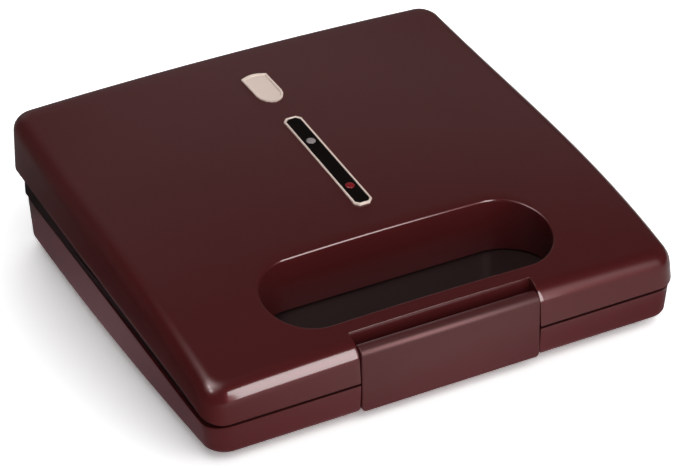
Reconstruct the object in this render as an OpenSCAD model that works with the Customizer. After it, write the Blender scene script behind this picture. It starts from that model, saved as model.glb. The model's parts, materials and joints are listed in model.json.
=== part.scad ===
// Sandwich toaster: a hinged lid over a shallow base, each with a heated plate, closed by a front latch.
// Millimetres. +Z is up, the front faces -Y, and the origin is on the table below the middle of the body.

/* [Body] */
// Width across the front corners of the lid
front_w = 247.2; // [235:0.2:262]
// Width across the rear corners of the lid
rear_w = 238.8; // [230:0.2:250]
// Depth of the body from front to rear
body_d = 229; // [225:1:245]
// Radius of the lid's corners seen from above
corner_r = 10; // [8:0.5:14]
// Outward bow of each long side of the lid
side_bow = 1.4; // [0:0.2:2]
// Wall thickness of both casings
wall = 2.4; // [2:0.1:2.6]

/* [Lid] */
// Height of the lid's top surface at the front edge, above the table
front_top_z = 39.1; // [38:0.1:42]
// Height of the lid's top surface at the rear edge, above the table
rear_top_z = 76.6; // [74:0.1:84]
// Rise of the top surface's arch at the long sides
side_arch = 3.8; // [3:0.1:5]
// How much more the top rises near the front than near the rear
top_sweep = 21.4; // [18:0.2:24]
// Fall of the top surface from the middle to the long sides
top_crown = 2.5; // [1.5:0.1:3]
// Height of the dome in the middle of the lid
top_dome = 3.3; // [2.8:0.1:4]
// Radius of the rounded edge between the top and the sides
edge_r = 7.7; // [6:0.1:9]
// Height of the lid's lower edge at the front
lid_edge_z = 21.2; // [20.6:0.1:22]
// Extra height of the lid's lower edge at the rear
lid_edge_rise = 21; // [19:0.1:22]
// Quick lift of the lower edge just behind the front corners
lid_edge_lift = 3.2; // [2.6:0.1:4]

/* [Base] */
// Height of the feet
foot_h = 4.6; // [4:0.2:5]
// How far the base's sides stay inside the lid's sides at the front
base_front_inset = 1.1; // [0.4:0.1:2]
// How far the base's sides stay inside the lid's sides at the rear
base_rear_inset = 5.4; // [3.6:0.1:6.4]
// Outward bow of each long side of the base
base_bow = 2.4; // [1:0.1:3]
// Height of the lower casing's front edge
base_edge_z = 19.9; // [19:0.1:20.2]
// Extra height of the lower casing's edge at the rear
base_edge_rise = 10.2; // [8:0.1:11]
// Radius of the lower casing's bottom edge
base_edge_r = 2.8; // [2:0.1:3]
// Diameter of each foot
foot_d = 16; // [12:0.5:18]

/* [Plates] */
// Height of the plane where the two plates meet
plate_z = 31.5; // [31:0.1:32]
// Gap between the closed frames and between the closed plates
plate_gap = 0.6; // [0.4:0.1:1]
// Distance from each side of the base to the heating plates, at the rear
plate_margin = 6; // [5:0.5:14]
// Thickness of a plate's flange
flange_t = 3; // [2.5:0.1:3.2]
// Depth of a sandwich pocket
pocket_depth = 11.5; // [9:0.5:12]
// Thickness of the metal under a pocket
pocket_t = 2.4; // [2:0.1:2.6]
// Width of the cutting ridge between two pockets
ridge_w = 7; // [5:0.5:10]
// Width of the rim around the pockets
rim_w = 7; // [5:0.5:9]

/* [Handle opening] */
// Length of the opening through the lid
handle_l = 149; // [120:1:154]
// Width of the opening through the lid
handle_w = 44.8; // [38:0.2:45]
// Distance from the front of the lid to the front edge of the opening
handle_setback = 18.2; // [18:0.1:20]

/* [Latch] */
// Width of the latch plate
latch_w = 93.6; // [70:0.2:98]
// Gap at each side of the latch
latch_gap = 0.6; // [0.4:0.1:1]
// Thickness of the latch plate
latch_t = 2.8; // [2.4:0.1:3]
// Radius of the latch's rounded top, round its pin
barrel_r = 4.2; // [3.8:0.1:4.4]
// Height of the latch pin above the table
latch_pin_z = 34.3; // [33.5:0.1:34.6]
// Gap between the rounded top and the finger channel
channel_gap = 2.6; // [2:0.1:2.8]
// Height of the latch's lower edge above the table
latch_foot_z = 5.2; // [5:0.1:6]
// Width of each hook finger
hook_w = 10; // [8:0.5:14]
// Distance from the middle to each hook finger
hook_x = 28; // [22:0.5:34]

/* [Hinge] */
// Distance from the middle to each hinge
hinge_x = 78; // [60:1:90]
// Distance from the rear of the body to the hinge axis
hinge_setback = 5.5; // [5.4:0.1:6]
// Height of the hinge axis above the plane where the plates meet
hinge_rise = 3.7; // [3.7:0.1:4.2]
// Radius of the hinge and latch pins
pin_r = 1.5; // [1.2:0.1:1.6]
// Running clearance of a pin in its moving part, on the radius
pin_gap = 0.05; // [0.03:0.01:0.08]
// Width of each hinge arm
arm_w = 9; // [7:0.5:12]
// Thickness of each hinge ear
ear_t = 4; // [3:0.5:5]

/* [Indicator and badge] */
// Length of the indicator trim
trim_l = 75.8; // [60:0.2:80]
// Width of the indicator trim
trim_w = 9.8; // [9:0.2:12]
// Distance from the front of the lid to the middle of the indicator trim
trim_setback = 119; // [112:0.5:124]
// Diameter of each lamp lens
lamp_d = 4.6; // [4:0.1:5]
// Distance between the two lamps
lamp_span = 39.4; // [30:0.2:44]
// Width of the badge
badge_w = 15; // [12:0.5:18]
// Length of the badge
badge_l = 27; // [22:0.5:28]
// Distance from the front of the lid to the middle of the badge
badge_setback = 186; // [184:0.5:192]

/* [Heating] */
// Diameter of the tubular heating elements
heater_d = 6.5; // [6:0.1:6.6]
// Distance between the two runs of a heating element
heater_span = 60; // [50:1:66]
// Diameter of the hole in the cord inlet
inlet_d = 7.4; // [6:0.2:8]

/* [Hidden] */
$fn = 32;

burgundy = "#4A2226";
jet = "#1C1A1A";
coated = "#2E2C2C";
steel = "#B9BCBE";
champagne = "#E6CDBB";
rubber_black = "#202020";

// Small gaps that are the same everywhere
seat_gap = 0.3;
fit_gap = 0.02;
cut = 1;

// Places along the depth
front_y = -body_d / 2;
rear_y = body_d / 2;
handle_front_y = front_y + handle_setback;
handle_y = handle_front_y + handle_w / 2;
handle_rear_y = handle_front_y + handle_w;
well_rear_y = handle_rear_y + wall;
hinge_y = rear_y - hinge_setback;
hinge_z = plate_z + hinge_rise;
frame_rear_y = rear_y - 3;
lid_frame_rear_y = hinge_y - 5.4;
base_front_w = front_w - 2 * base_front_inset;
base_rear_w = rear_w - 2 * base_rear_inset;
plate_w = base_rear_w - 2 * plate_margin;
plate_front_y = well_rear_y + 3.2;
plate_rear_y = lid_frame_rear_y - 3.6;
plate_d = plate_rear_y - plate_front_y;
plate_y = (plate_front_y + plate_rear_y) / 2;

// Heights in the base
floor_z = foot_h + wall;
deck_z = plate_z - 4.6;
lower_top = plate_z - plate_gap / 2;
upper_low = plate_z + plate_gap / 2;
deck_low = deck_z - plate_gap / 2;
deck_up = deck_z + plate_gap / 2;
frame_t = 2.4;

// Outlines: a rounded rectangle whose long sides lean in to the rear and bow outwards
corner_steps = 5;
side_steps = 9;
end_steps = 7;
lid_draft = 0.6;
base_corner_r = corner_r + 1;
function along(y) = (y - front_y) / body_d;
function bow_at(y) = 1 - pow(2 * along(y) - 1, 2);
function half_width(y, fw, rw, bow) = (fw + (rw - fw) * along(y)) / 2 + bow * bow_at(y);
function arc(cx, cy, r, a0) = [
    for (i = [0:corner_steps]) [cx + r * cos(a0 + 90 * i / corner_steps), cy + r * sin(a0 + 90 * i / corner_steps)]
];
function between(p, q, n) = [for (i = [1:n]) p + (q - p) * i / (n + 1)];
function last(v) = v[len(v) - 1];
function round_rect(a, b, r) =
    let (
        c0 = arc(a - r, b - r, r, 0),
        c1 = arc(r - a, b - r, r, 90),
        c2 = arc(r - a, r - b, r, 180),
        c3 = arc(a - r, r - b, r, 270)
    )
    concat(
        c0, between(last(c0), c1[0], end_steps), c1, between(last(c1), c2[0], side_steps),
        c2, between(last(c2), c3[0], end_steps), c3, between(last(c3), c0[0], side_steps)
    );
function outline(inset, fw, rw, bow, r) = [
    for (p = round_rect(fw / 2 - inset, body_d / 2 - inset, max(r - inset / 2, 1)))
        [p.x * half_width(p.y, fw, rw, bow) * 2 / fw, p.y]
];
function lid_outline(inset) = outline(inset, front_w, rear_w, side_bow, corner_r);
function base_outline(inset) = outline(inset, base_front_w, base_rear_w, base_bow, base_corner_r);

// Surfaces: the lid's top, the lid's lower edge and the lower casing's upper edge
dome_rear = 3.1;
lid_edge_arch = 2;
base_edge_arch = 5.1;
base_edge_dip = 3.3;
lift_reach = 0.04;
function top_z(x, y) =
    let (t = along(y), u = 2 * x / front_w, h = t * (1 - t))
    front_top_z + (rear_top_z - front_top_z) * t + h * (4 * side_arch + top_sweep * (1 - 2 * t))
        - top_crown * u * u + 4 * h * (top_dome + dome_rear * (2 * t - 1)) * (1 - u * u);
function lid_edge(y) =
    let (t = max(along(y), 0))
    lid_edge_z + lid_edge_rise * t + 4 * lid_edge_arch * t * (1 - t) + lid_edge_lift * (1 - exp(-t / lift_reach));
function base_edge(y) =
    let (t = max(along(y), 0))
    base_edge_z + base_edge_rise * t + 4 * base_edge_arch * t * (1 - t) - base_edge_dip * (1 - exp(-t / lift_reach));
function top_slope(y) = atan((top_z(0, y + 1) - top_z(0, y - 1)) / 2);

// A closed skin over rings of equal length, from the first point to the last
function skin_points(start, rings, end) = concat([start], [for (r = rings) each r], [end]);
function skin_faces(n, m) = concat(
    [for (i = [0:n - 1]) [0, 1 + i, 1 + (i + 1) % n]],
    [
        for (k = [0:m - 2], i = [0:n - 1], s = [0, 1])
            let (a = 1 + k * n + i, b = 1 + k * n + (i + 1) % n)
            s == 0 ? [a, a + n, b] : [b, a + n, b + n]
    ],
    [for (i = [0:n - 1]) [1 + m * n, 1 + (m - 1) * n + (i + 1) % n, 1 + (m - 1) * n + i]]
);
function flipped(faces) = [for (f = faces) [f[0], f[2], f[1]]];
module skin(start, rings, end, downward = false) {
    faces = skin_faces(len(rings[0]), len(rings));
    polyhedron(points = skin_points(start, rings, end), faces = downward ? flipped(faces) : faces);
}

// Rings of the lid
fillet_steps = 4;
top_rings = [0.3, 0.6, 0.82, 0.95];
function raised(ring, z) = [for (p = ring) [p.x, p.y, z]];
function lid_top_ring(inset, share, drop) = [
    for (p = lid_outline(inset)) [p.x * share, p.y * share, top_z(p.x * share, p.y * share) - drop]
];
function lid_fillet_ring(inset, r, drop, a) = [
    for (p = lid_outline(inset + r * (1 - cos(a)))) [p.x, p.y, top_z(p.x, p.y) - drop - r * (1 - sin(a))]
];
function lid_low_ring(inset) = [for (p = lid_outline(inset)) [p.x, p.y, lid_edge(p.y)]];
lid_outer = concat(
    [for (k = top_rings) lid_top_ring(lid_draft + edge_r, k, 0)],
    [for (i = [0:fillet_steps]) lid_fillet_ring(lid_draft, edge_r, 0, 90 * (1 - i / fillet_steps))],
    [lid_low_ring(0)]
);
inner_r = edge_r - wall;
lid_inner = concat(
    [lid_low_ring(wall)],
    [for (i = [0:2]) lid_fillet_ring(lid_draft + wall, inner_r, wall, 45 * i)],
    [for (i = [3, 1, 0]) lid_top_ring(lid_draft + wall + inner_r, top_rings[i], wall)]
);
module lid_shell() {
    skin([0, 0, top_z(0, 0)], concat(lid_outer, lid_inner), [0, 0, top_z(0, 0) - wall], downward = true);
}
module lid_solid() {
    skin([0, 0, top_z(0, 0)], concat(lid_outer, [raised(lid_outline(0), base_edge_z)]), [0, 0, base_edge_z],
        downward = true);
}

// Rings of the base
bottom_draft = 1.1;
function base_corner_ring(r, inset, a) = raised(
    base_outline(inset + bottom_draft + r * (1 - cos(a))), foot_h + base_edge_r - r * sin(a)
);
base_outer = concat(
    [for (k = [0.6, 1]) [for (p = base_outline(bottom_draft + base_edge_r)) [p.x * k, p.y * k, foot_h]]],
    [for (i = [1:3]) base_corner_ring(base_edge_r, 0, 90 - 30 * i)],
    [[for (p = base_outline(0)) [p.x, p.y, base_edge(p.y)]]]
);
base_inner = [
    [for (p = base_outline(wall)) [p.x, p.y, base_edge(p.y)]],
    raised(base_outline(wall + bottom_draft), floor_z + 1),
    raised(base_outline(wall + bottom_draft + 1), floor_z),
    [for (p = base_outline(wall + bottom_draft + 1)) [p.x * 0.6, p.y * 0.6, floor_z]]
];
module base_shell() {
    skin([0, 0, foot_h], concat(base_outer, base_inner), [0, 0, floor_z]);
}

// A slab across the whole width between two height curves that follow the depth
profile_steps = 30;
module between_curves(low, high, y0, y1) {
    ys = [for (i = [0:profile_steps]) y0 + (y1 - y0) * i / profile_steps];
    pts = concat([for (y = ys) [y, low(y)]], [for (i = [profile_steps:-1:0]) [ys[i], high(ys[i])]]);
    rotate([90, 0, 90])
        linear_extrude(height = front_w + 20, center = true)
            polygon(pts);
}

module stadium(length, width) {
    square([length - width, width], center = true);
    for (s = [-1, 1]) translate([s * (length - width) / 2, 0]) circle(d = width, $fn = 64);
}
module handle_prism(grow, z0, z1) {
    translate([0, handle_y, z0])
        linear_extrude(height = z1 - z0)
            stadium(handle_l + 2 * grow, handle_w + 2 * grow);
}
module box(x0, x1, y0, y1, z0, z1) {
    translate([x0, y0, z0]) cube([x1 - x0, y1 - y0, z1 - z0]);
}
module x_rod(r, x0, x1, y, z) {
    translate([x0, y, z]) rotate([0, 90, 0]) cylinder(r = r, h = x1 - x0, $fn = 48);
}
module z_rod(r, x, y, z0, z1) {
    translate([x, y, z0]) cylinder(r = r, h = z1 - z0);
}
module mirrored() {
    children();
    mirror([1, 0, 0]) children();
}

// Latch and channel
latch_pin_y = front_y + barrel_r;
latch_face_y = front_y + latch_t;
pocket_half = latch_w / 2 + latch_gap;
channel_rear_y = latch_pin_y + barrel_r + channel_gap;
channel_r = barrel_r + channel_gap;
cheek = 2.4;
striker_t = 1.2;
striker_gap = 1;
notch_y = latch_face_y + striker_gap + striker_t;
notch_wall_y = notch_y + wall;
notch_half = pocket_half + 2;
notch_corner_r = 2.5;
notch_corner_shift = 0.7;
hook_z = 14.2;
hook_t = 2.2;
hook_tip_y = notch_wall_y + 0.4;
notch_top_z = deck_low - frame_t - 0.4;
window_z0 = hook_z - hook_t - 1.2;
window_z1 = hook_z + seat_gap;
window_half = hook_w / 2 + 1.2;

// Screws: a shank and a flat head, pointing up from the head's underside
module screw(shank_r, head_r, head_t, length) {
    translate([0, 0, -head_t]) cylinder(r = head_r, h = head_t);
    cylinder(r = shank_r, h = length);
}
screw_r = 1.5;
screw_head_r = 3;
screw_head_t = 1.8;
base_screw_spots = [[base_front_w / 2 - 18.5, front_y + 22], [base_rear_w / 2 - 16, rear_y - 9]];
lid_screw_spots = [[front_w / 2 - 22.6, front_y + 30], [plate_w / 2 + 4, rear_y - 36]];
base_post_z = floor_z + 2.6;
plate_screw_inset = 7;
plate_boss_r = 4;
plate_screw_l = 9;
base_screw_l = 12;
clamp_screw_l = 12.5;

module lower_casing() {
    color(burgundy)
        difference() {
            union() {
                difference() {
                    base_shell();
                    box(-pocket_half, pocket_half, front_y - cut, notch_y, 0, plate_z);
                    for (s = [-1, 1])
                        translate([s * (pocket_half + notch_corner_shift), front_y - cut, foot_h + notch_corner_shift])
                            rotate([-90, 0, 0])
                                cylinder(r = notch_corner_r, h = notch_y - front_y + cut, $fn = 24);
                }
                box(-notch_half, notch_half, notch_y, notch_wall_y, foot_h, notch_top_z);
                mirrored()
                    for (p = base_screw_spots)
                        z_rod(4.6, p.x, p.y, floor_z - 1, base_post_z - seat_gap);
                for (s = [-1, 1])
                    z_rod(3, block_x, block_y + 7 * s, floor_z - 1, block_z - fit_gap);
            }
            for (s = [-1, 1])
                box(s * hook_x - window_half, s * hook_x + window_half, notch_y - cut, notch_wall_y + cut,
                    window_z0, window_z1 + 0.2);
            for (s = [-1, 1])
                translate([s * striker_screw_x, notch_y - cut, striker_screw_z])
                    rotate([-90, 0, 0])
                        cylinder(r = 1.1, h = wall + 2 * cut, $fn = 24);
            mirrored()
                for (p = base_screw_spots) {
                    z_rod(screw_r + 0.2, p.x, p.y, foot_h - cut, base_post_z + cut);
                    z_rod(screw_head_r + 0.3, p.x, p.y, foot_h - cut, foot_h + screw_head_t + 0.2);
                }
            mirrored()
                for (p = foot_spots)
                    z_rod(foot_stem_r + 0.05, p.x, p.y, foot_h - cut, floor_z + cut);
            translate([inlet_x, rear_y + cut, inlet_z])
                rotate([90, 0, 0])
                    cylinder(d = inlet_neck_d + 0.1, h = wall + 6, $fn = 48);
        }
}

// Feet
foot_stem_r = 3;
foot_spots = [[base_front_w / 2 - 26.5, front_y + 42], [base_rear_w / 2 - 26, rear_y - 34]];
module feet() {
    color(rubber_black)
        mirrored()
            for (p = foot_spots) {
                z_rod(foot_d / 2, p.x, p.y, 0, foot_h);
                z_rod(foot_stem_r, p.x, p.y, foot_h, floor_z + 0.1);
                z_rod(foot_stem_r + 1, p.x, p.y, floor_z + 0.1, floor_z + 1.3);
            }
}

module base_screws() {
    color(steel)
        mirrored()
            for (p = base_screw_spots)
                translate([p.x, p.y, foot_h + screw_head_t + 0.2])
                    screw(screw_r, screw_head_r, screw_head_t, base_screw_l);
}

// Frames
frame_inset = wall + 0.5;
frame_ledge = 0.3;
// The lower frame stays inside the lid's wall, and further back inside the base's edge
function frame_share(y) = min(1,
    (half_width(y, base_front_w, base_rear_w, base_bow) - frame_ledge)
        / (half_width(y, front_w, rear_w, side_bow) - frame_inset));
frame_outline = [for (p = lid_outline(frame_inset)) [p.x * frame_share(p.y), p.y]];
module frame_region(y0, y1) {
    box(-front_w, front_w, y0, y1, -10, 120);
}
step_y = well_rear_y + 1;
module plate_hole(z0, z1) {
    box(-plate_w / 2 + 5, plate_w / 2 - 5, plate_front_y + 5, plate_rear_y - 5, z0, z1);
}
module plate_seat(z0, z1) {
    box(-plate_w / 2 - seat_gap, plate_w / 2 + seat_gap, plate_front_y - seat_gap, plate_rear_y + seat_gap, z0, z1);
}
lower_under = lower_top - flange_t - frame_t;
function lower_frame_top(y) = y < step_y ? deck_low : lower_top;
module lower_frame() {
    rest = function (y) base_edge(y) + seat_gap;
    top = function (y) 60;
    color(jet)
        difference() {
            union() {
                intersection() {
                    linear_extrude(height = lower_top) polygon(frame_outline);
                    between_curves(rest, top, front_y - 5, rear_y + 5);
                    frame_region(front_y, frame_rear_y);
                }
                intersection() {
                    translate([0, 0, deck_low - frame_t])
                        linear_extrude(height = lower_top - deck_low + frame_t)
                            polygon(base_outline(wall + bottom_draft + 0.4));
                    frame_region(front_y, frame_rear_y);
                }
                mirrored() hinge_ears();
                mirrored()
                    for (p = base_screw_spots)
                        z_rod(4, p.x, p.y, base_post_z, lower_under + 1);
                mirrored()
                    for (s = [0, 1])
                        box(plate_w / 2 - 14, plate_w / 2 + 1, lug_y(s) - 6, lug_y(s) + 6, lower_lug_z, lower_under + 1);
            }
            intersection() {
                translate([0, 0, -cut])
                    linear_extrude(height = lower_under + cut)
                        polygon(base_outline(wall + bottom_draft + 3));
                difference() {
                    frame_region(front_y, frame_rear_y - 2.4);
                    mirrored()
                        for (p = base_screw_spots)
                            z_rod(4, p.x, p.y, -10, 60);
                    mirrored()
                        for (s = [0, 1])
                            box(plate_w / 2 - 14, plate_w / 2 + 1, lug_y(s) - 6, lug_y(s) + 6, lower_lug_z, 60);
                    box(-front_w, front_w, front_y, step_y + 1.4, deck_low - frame_t, 60);
                }
            }
            box(-front_w, front_w, front_y - cut, step_y - 0.01, deck_low, 60);
            plate_hole(lower_lug_z + lug_t, 60);
            box(-plate_w / 2 + 14, plate_w / 2 - 14, plate_front_y + 5, plate_rear_y - 5, 0, 60);
            box(-plate_w / 2, plate_w / 2, plate_front_y + 20, plate_rear_y - 20, 0, lower_under);
            plate_seat(lower_top - flange_t - 0.01, 60);
            plate_room();
            box(-notch_half - seat_gap, notch_half + seat_gap, front_y - 5, notch_wall_y + 0.4, 0, 60);
            mirrored()
                for (p = base_screw_spots)
                    z_rod(screw_r + fit_gap, p.x, p.y, 0, foot_h + 15);
            mirrored()
                for (s = [0, 1])
                    z_rod(screw_r + 0.2, plate_w / 2 - plate_screw_inset, lug_y(s), 0, 60);
            x_rod(pin_r + fit_gap, -hinge_x - 30, hinge_x + 30, hinge_y, hinge_z);
        }
}
module plate_room() {
    mirrored() {
        translate([0, 0, lower_top]) pockets(pocket_t + seat_gap, 0.5 - flange_t, -pocket_depth - pocket_t - seat_gap);
        for (s = [0, 1])
            z_rod(plate_boss_r + seat_gap, plate_w / 2 - plate_screw_inset, lug_y(s), lower_lug_z + lug_t, lower_top);
    }
}
function lug_y(s) = s == 0 ? plate_front_y + plate_screw_inset : plate_rear_y - plate_screw_inset;
lug_t = 3;
lug_drop = 8.4;
lower_lug_z = lower_top - flange_t - lug_drop;
boss_low = lug_t - flange_t - lug_drop + fit_gap;

// Hinges: two ears on the lower frame hold a pin, and an arm of the upper frame turns on it
ear_r = 4.6;
arm_r = 3.6;
side_play = 0.4;
heel_l = 8.4;
stop_y = hinge_y + 3.9;
module hinge_ears() {
    inner = hinge_x - arm_w / 2 - side_play - ear_t;
    outer = hinge_x + arm_w / 2 + side_play;
    low = base_edge(rear_y) + seat_gap;
    for (x = [inner, outer]) {
        x_rod(ear_r, x, x + ear_t, hinge_y, hinge_z);
        box(x, x + ear_t, hinge_y - ear_r, hinge_y + ear_r, low, hinge_z);
    }
    box(inner, outer + ear_t, hinge_y - ear_r, stop_y + 1.2, low, hinge_z - arm_r - 0.5);
    box(inner + ear_t, outer, stop_y, stop_y + 1.2, low, hinge_z - 3.15);
}
module hinge_pins() {
    half = arm_w / 2 + side_play + ear_t;
    color(steel)
        mirrored()
            difference() {
                x_rod(pin_r, hinge_x - half - 0.4, hinge_x + half + 0.4, hinge_y, hinge_z);
                x_rod(0.8, hinge_x - half - 2, hinge_x + half + 2, hinge_y, hinge_z);
            }
}

// Plates: a flange with two pairs of triangular pockets and four bosses for the screws
pocket_corner_r = 9;
pocket_lean = 3.5;
corner_points = 4;
function unit(v) = v / norm(v);
function corner_arc(a, b, c, r0, r) =
    let (
        half = acos(unit(a - b) * unit(c - b)) / 2,
        m = b + unit(unit(a - b) + unit(c - b)) * r0 / sin(half),
        start = atan2(b.x - a.x, a.y - b.y) + 180,
        turn = 180 - 2 * half
    )
    [for (i = [0:corner_points]) m + r * [cos(start + turn * i / corner_points), sin(start + turn * i / corner_points)]];
function triangle_ring(v, r, z) = [
    for (i = [0:2], p = corner_arc(v[(i + 2) % 3], v[i], v[(i + 1) % 3], pocket_corner_r, r)) [p.x, p.y, z]
];
module frustum(v, r_top, r_low, z_top, z_low) {
    mid = (v[0] + v[1] + v[2]) / 3;
    skin([mid.x, mid.y, z_top], [triangle_ring(v, r_top, z_top), triangle_ring(v, r_low, z_low)],
        [mid.x, mid.y, z_low], downward = true);
}
pocket_x0 = ridge_w / 2;
pocket_x1 = plate_w / 2 - rim_w;
pocket_y0 = plate_front_y + rim_w;
pocket_y1 = plate_rear_y - rim_w;
diag = unit([pocket_x1 - pocket_x0, pocket_y1 - pocket_y0]);
shift_x = ridge_w / 2 / diag.y;
shift_y = ridge_w / 2 / diag.x;
inner_triangle = [
    [pocket_x0, pocket_y0 + shift_y], [pocket_x1 - shift_x, pocket_y1], [pocket_x0, pocket_y1]
];
outer_triangle = [
    [pocket_x0 + shift_x, pocket_y0], [pocket_x1, pocket_y0], [pocket_x1, pocket_y1 - shift_y]
];
module pockets(grow, z_top, z_low) {
    for (v = [inner_triangle, outer_triangle])
        frustum(v, pocket_corner_r + grow, pocket_corner_r - pocket_lean + grow, z_top, z_low);
}
clamp_x = (pocket_x0 + pocket_x1) / 2;
module plate_form() {
    difference() {
        union() {
            translate([0, plate_y, -flange_t])
                linear_extrude(height = flange_t)
                    polygon(round_rect(plate_w / 2, plate_d / 2, 6));
            mirrored() pockets(pocket_t, -flange_t + 0.5, -pocket_depth - pocket_t);
            mirrored() z_rod(4.4, clamp_x, plate_y, -pocket_depth - pocket_t + 0.5, -flange_t + 0.5);
            mirrored()
                for (s = [0, 1])
                    z_rod(plate_boss_r, plate_w / 2 - plate_screw_inset, lug_y(s), boss_low, -flange_t + 0.5);
        }
        mirrored() pockets(0, 0.01, -pocket_depth);
        mirrored()
            for (s = [0, 1])
                z_rod(screw_r + fit_gap, plate_w / 2 - plate_screw_inset, lug_y(s), boss_low - cut, -1);
        mirrored() z_rod(screw_r + fit_gap, clamp_x, plate_y, -pocket_depth - pocket_t - 1, -4);
    }
}
module lower_plate() {
    color(coated) translate([0, 0, lower_top]) plate_form();
}
module flip_to_lid() {
    translate([0, 0, 2 * plate_z]) mirror([0, 0, 1]) children();
}
module upper_plate() {
    color(coated) flip_to_lid() translate([0, 0, lower_top]) plate_form();
}
module plate_screws() {
    mirrored()
        for (s = [0, 1])
            translate([plate_w / 2 - plate_screw_inset, lug_y(s), lower_lug_z])
                screw(screw_r, screw_head_r, screw_head_t, plate_screw_l);
}
module lower_plate_screws() {
    color(steel) plate_screws();
}
module upper_plate_screws() {
    color(steel) flip_to_lid() plate_screws();
}

// Heating elements under each plate, held by clamp bars
heater_r = heater_d / 2;
heater_z = lower_top - pocket_depth - pocket_t - 0.2 - heater_r;
heater_end_x = plate_w / 2 - 14;
heater_turn_inset = 62;
heater_turn_x = heater_turn_inset - plate_w / 2;
clamp_t = 1.2;
clamp_z = heater_z - heater_r - clamp_t;
module heater() {
    for (s = [-1, 1]) {
        x_rod(heater_r, heater_turn_x, heater_end_x, plate_y + s * heater_span / 2, heater_z);
        x_rod(1.3, heater_end_x, heater_end_x + 6, plate_y + s * heater_span / 2, heater_z);
    }
    translate([heater_turn_x, plate_y, heater_z])
        rotate([0, 0, 90])
            rotate_extrude(angle = 180, $fn = 72)
                translate([heater_span / 2, 0])
                    circle(r = heater_r, $fn = 32);
}
module lower_heater() {
    color(steel) heater();
}
module upper_heater() {
    color(steel) flip_to_lid() heater();
}
module clamps() {
    mirrored()
        difference() {
            translate([clamp_x - 6, plate_y - heater_span / 2 - heater_r - 2, clamp_z])
                cube([12, heater_span + heater_d + 4, clamp_t]);
            z_rod(screw_r + 0.2, clamp_x, plate_y, clamp_z - 1, clamp_z + 4);
        }
}
module lower_clamps() {
    color(steel) clamps();
}
module upper_clamps() {
    color(steel) flip_to_lid() clamps();
}
module clamp_screws() {
    mirrored() translate([clamp_x, plate_y, reflector_z]) screw(screw_r, clamp_head_r, clamp_head_t, clamp_screw_l);
}
module clamp_screws_lower() {
    color(steel) clamp_screws();
}
module clamp_screws_upper() {
    color(steel) flip_to_lid() clamp_screws();
}

// Reflectors: thin trays between a heating element and its casing
reflector_t = 0.5;
module reflector(z, w, d) {
    translate([0, plate_y, z]) {
        linear_extrude(height = reflector_t)
            difference() {
                square([w, d], center = true);
                circle(r = disc_r + 1);
                for (s = [-1, 1]) translate([s * clamp_x, 0]) circle(r = screw_r + 0.2);
            }
        for (s = [-1, 1])
            translate([0, s * (d - reflector_t) / 2, reflector_t])
                linear_extrude(height = 2)
                    square([w, reflector_t], center = true);
    }
}
disc_r = 8;
reflector_z = clamp_z - reflector_t - fit_gap;
clamp_head_r = 2.6;
clamp_head_t = 0.8;
module lower_reflector() {
    color(steel) reflector(reflector_z, plate_w - 36, heater_span + 26);
}
module upper_reflector() {
    color(steel) flip_to_lid() reflector(reflector_z, plate_w - 40, heater_span + 20);
}

// Controls in the base
tab_x = disc_r + 5;
tab_y = 4;
tab_z = clamp_z + 1;
module thermostat() {
    color(steel) {
        z_rod(disc_r, 0, plate_y, clamp_z, lower_top - pocket_depth - pocket_t - 0.1);
        for (s = [-1, 1])
            box(disc_r - 1, tab_x, plate_y + s * tab_y - 1.6, plate_y + s * tab_y + 1.6, tab_z, tab_z + 0.8);
    }
}
fuse_y = plate_y + heater_span / 2 + 16;
module thermal_fuse() {
    color(champagne) x_rod(2.4, -13, 13, fuse_y, lower_top - pocket_depth - pocket_t - 2.5);
}
block_x = plate_w / 2 - 30;
block_half_l = 16;
block_half_d = 10;
block_bore_span = 10;
block_bore_r = 1.7;
block_y = front_y + 40;
block_z = floor_z + 2;
block_h = 9;
block_wire_z = block_z + 4;
module terminal_block() {
    color("ivory")
        difference() {
            box(block_x - block_half_l, block_x + block_half_l, block_y - block_half_d, block_y + block_half_d,
                block_z, block_z + block_h);
            for (s = [-1, 0, 1])
                translate([block_x + s * block_bore_span, block_y - block_half_d - cut, block_wire_z])
                    rotate([-90, 0, 0])
                        cylinder(r = block_bore_r, h = 2 * (block_half_d + cut));
        }
}
inlet_x = base_rear_w / 2 - 28;
inlet_z = floor_z + 8;
inlet_neck_d = inlet_d + 3;
inlet_collar_t = 1.8;
inlet_l = 5;
inlet_y = rear_y - wall - bottom_draft - fit_gap - inlet_collar_t;
module cord_inlet() {
    color(jet)
        translate([inlet_x, inlet_y, inlet_z])
            rotate([-90, 0, 0])
                difference() {
                    union() {
                        cylinder(d = inlet_neck_d, h = inlet_l, $fn = 48);
                        cylinder(d = inlet_neck_d + 3, h = inlet_collar_t, $fn = 48);
                    }
                    translate([0, 0, -cut]) cylinder(d = inlet_d, h = inlet_l + 2 * cut, $fn = 48);
                }
}

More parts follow.
